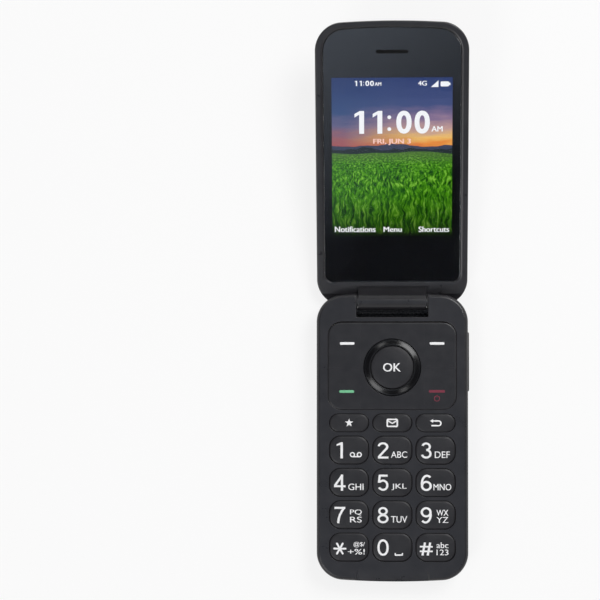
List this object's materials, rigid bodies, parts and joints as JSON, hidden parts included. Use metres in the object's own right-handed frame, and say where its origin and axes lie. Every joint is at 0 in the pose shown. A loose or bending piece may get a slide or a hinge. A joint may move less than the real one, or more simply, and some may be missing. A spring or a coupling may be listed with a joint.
{
  "type": "flip phone",
  "caption": "Folding mobile phone with a screen in the opened lid, a small outer screen, a camera and a full keypad, joined by a barrel hinge.",
  "frame": {"origin": "middle of the base's back face, which the phone rests on", "axes": "+X to the right seen from the front, +Y along the base towards the hinge and the lid, +Z out of the keypad"},
  "size_m": [0.0556, 0.2017, 0.0317],
  "materials": {
    "case_black": "smooth satin black moulding",
    "textured_black": "black moulding with a fine crossed diagonal texture",
    "key_black": "satin black keys with white legends",
    "ring_gloss": "polished black",
    "lens_black": "polished clear front with a black border printed behind",
    "display_glass": "display panel behind the lens",
    "camera_rim": "thin polished rim",
    "steel": "stamped and turned steel",
    "brass_parts": "turned brass",
    "board_green": "glass-fibre circuit board",
    "battery_skin": "plain wrapped lithium cell",
    "inner_black": "black inner moulding",
    "film_amber": "amber polyimide film",
    "film_pale": "pale plastic film or carrier"
  },
  "bodies": {
    "base": {"front_housing": "case_black", "rear_housing": "textured_black", "battery_cover": "textured_black", "battery": "battery_skin", "battery_contacts": "inner_black", "main_board": "board_green", "shield_can": "steel", "dome_sheet": "film_pale", "nav_strip": "case_black", "loudspeaker": "inner_black", "microphone": "brass_parts", "vibration_motor": "steel", "card_holder": "steel", "usb_socket": "steel", "headset_jack": "inner_black", "antenna": "film_pale", "side_switch": "steel", "case_screws": "steel", "hinge_pin": "steel", "hinge_shaft": "steel"},
    "lid": {"lid_inner_frame": "case_black", "lid_outer_shell": "textured_black", "main_lens": "lens_black", "main_display": "display_glass", "lid_board": "board_green", "outer_lens": "lens_black", "outer_display": "display_glass", "earpiece": "inner_black", "earpiece_mesh": "steel", "camera_module": "inner_black", "camera_ring": "camera_rim", "camera_window": "lens_black", "hinge_cam": "steel", "hinge_bush": "brass_parts", "hinge_flex": "film_amber", "lid_magnet": "steel"},
    "key_1": {"key_1": "key_black"},
    "key_2": {"key_2": "key_black"},
    "key_3": {"key_3": "key_black"},
    "key_4": {"key_4": "key_black"},
    "key_5": {"key_5": "key_black"},
    "key_6": {"key_6": "key_black"},
    "key_7": {"key_7": "key_black"},
    "key_8": {"key_8": "key_black"},
    "key_9": {"key_9": "key_black"},
    "key_star": {"key_star": "key_black"},
    "key_0": {"key_0": "key_black"},
    "key_hash": {"key_hash": "key_black"},
    "key_favourite": {"key_favourite": "key_black"},
    "key_message": {"key_message": "key_black"},
    "key_back": {"key_back": "key_black"},
    "key_soft_left": {"key_soft_left": "key_black"},
    "key_soft_right": {"key_soft_right": "key_black"},
    "key_send": {"key_send": "key_black"},
    "key_end": {"key_end": "key_black"},
    "ok_key": {"ok_key": "key_black"},
    "nav_rocker": {"nav_rocker": "steel"},
    "nav_ring": {"nav_ring": "ring_gloss"},
    "volume_key": {"volume_key": "key_black"}
  },
  "joints": [
    {"name": "lid_hinge", "type": "hinge", "parent": "base", "child": "lid", "pos_m": [0, 0.0494, 0.0088], "axis": [1, 0, 0], "range_deg": [0, 165]},
    {"name": "key_1_press", "type": "slide", "parent": "base", "child": "key_1", "axis": [0, 0, -1], "range_m": [0, 0.00025], "stiffness_N_per_m": 400},
    {"name": "key_2_press", "type": "slide", "parent": "base", "child": "key_2", "axis": [0, 0, -1], "range_m": [0, 0.00025], "stiffness_N_per_m": 400},
    {"name": "key_3_press", "type": "slide", "parent": "base", "child": "key_3", "axis": [0, 0, -1], "range_m": [0, 0.00025], "stiffness_N_per_m": 400},
    {"name": "key_4_press", "type": "slide", "parent": "base", "child": "key_4", "axis": [0, 0, -1], "range_m": [0, 0.00025], "stiffness_N_per_m": 400},
    {"name": "key_5_press", "type": "slide", "parent": "base", "child": "key_5", "axis": [0, 0, -1], "range_m": [0, 0.00025], "stiffness_N_per_m": 400},
    {"name": "key_6_press", "type": "slide", "parent": "base", "child": "key_6", "axis": [0, 0, -1], "range_m": [0, 0.00025], "stiffness_N_per_m": 400},
    {"name": "key_7_press", "type": "slide", "parent": "base", "child": "key_7", "axis": [0, 0, -1], "range_m": [0, 0.00025], "stiffness_N_per_m": 400},
    {"name": "key_8_press", "type": "slide", "parent": "base", "child": "key_8", "axis": [0, 0, -1], "range_m": [0, 0.00025], "stiffness_N_per_m": 400},
    {"name": "key_9_press", "type": "slide", "parent": "base", "child": "key_9", "axis": [0, 0, -1], "range_m": [0, 0.00025], "stiffness_N_per_m": 400},
    {"name": "key_star_press", "type": "slide", "parent": "base", "child": "key_star", "axis": [0, 0, -1], "range_m": [0, 0.00025], "stiffness_N_per_m": 400},
    {"name": "key_0_press", "type": "slide", "parent": "base", "child": "key_0", "axis": [0, 0, -1], "range_m": [0, 0.00025], "stiffness_N_per_m": 400},
    {"name": "key_hash_press", "type": "slide", "parent": "base", "child": "key_hash", "axis": [0, 0, -1], "range_m": [0, 0.00025], "stiffness_N_per_m": 400},
    {"name": "key_favourite_press", "type": "slide", "parent": "base", "child": "key_favourite", "axis": [0, 0, -1], "range_m": [0, 0.00025], "stiffness_N_per_m": 400},
    {"name": "key_message_press", "type": "slide", "parent": "base", "child": "key_message", "axis": [0, 0, -1], "range_m": [0, 0.00025], "stiffness_N_per_m": 400},
    {"name": "key_back_press", "type": "slide", "parent": "base", "child": "key_back", "axis": [0, 0, -1], "range_m": [0, 0.00025], "stiffness_N_per_m": 400},
    {"name": "key_soft_left_press", "type": "slide", "parent": "base", "child": "key_soft_left", "axis": [0, 0, -1], "range_m": [0, 0.00025], "stiffness_N_per_m": 400},
    {"name": "key_soft_right_press", "type": "slide", "parent": "base", "child": "key_soft_right", "axis": [0, 0, -1], "range_m": [0, 0.00025], "stiffness_N_per_m": 400},
    {"name": "key_send_press", "type": "slide", "parent": "base", "child": "key_send", "axis": [0, 0, -1], "range_m": [0, 0.00025], "stiffness_N_per_m": 400},
    {"name": "key_end_press", "type": "slide", "parent": "base", "child": "key_end", "axis": [0, 0, -1], "range_m": [0, 0.00025], "stiffness_N_per_m": 400},
    {"name": "ok_key_press", "type": "slide", "parent": "base", "child": "ok_key", "axis": [0, 0, -1], "range_m": [0, 0.00025], "stiffness_N_per_m": 400},
    {"name": "nav_tilt_side", "type": "hinge", "parent": "base", "child": "nav_rocker", "pos_m": [0, 0.0254, 0.00935], "axis": [0, 1, 0], "range_deg": [-1, 1], "stiffness_Nm_per_rad": 1},
    {"name": "nav_tilt_up", "type": "hinge", "parent": "nav_rocker", "child": "nav_ring", "pos_m": [0, 0.0254, 0.00935], "axis": [1, 0, 0], "range_deg": [-1, 1], "stiffness_Nm_per_rad": 1},
    {"name": "volume_rock", "type": "hinge", "parent": "base", "child": "volume_key", "pos_m": [0.02605, 0.0274, 0.00835], "axis": [0, 0, 1], "range_deg": [-1, 1], "stiffness_Nm_per_rad": 1}
  ]
}
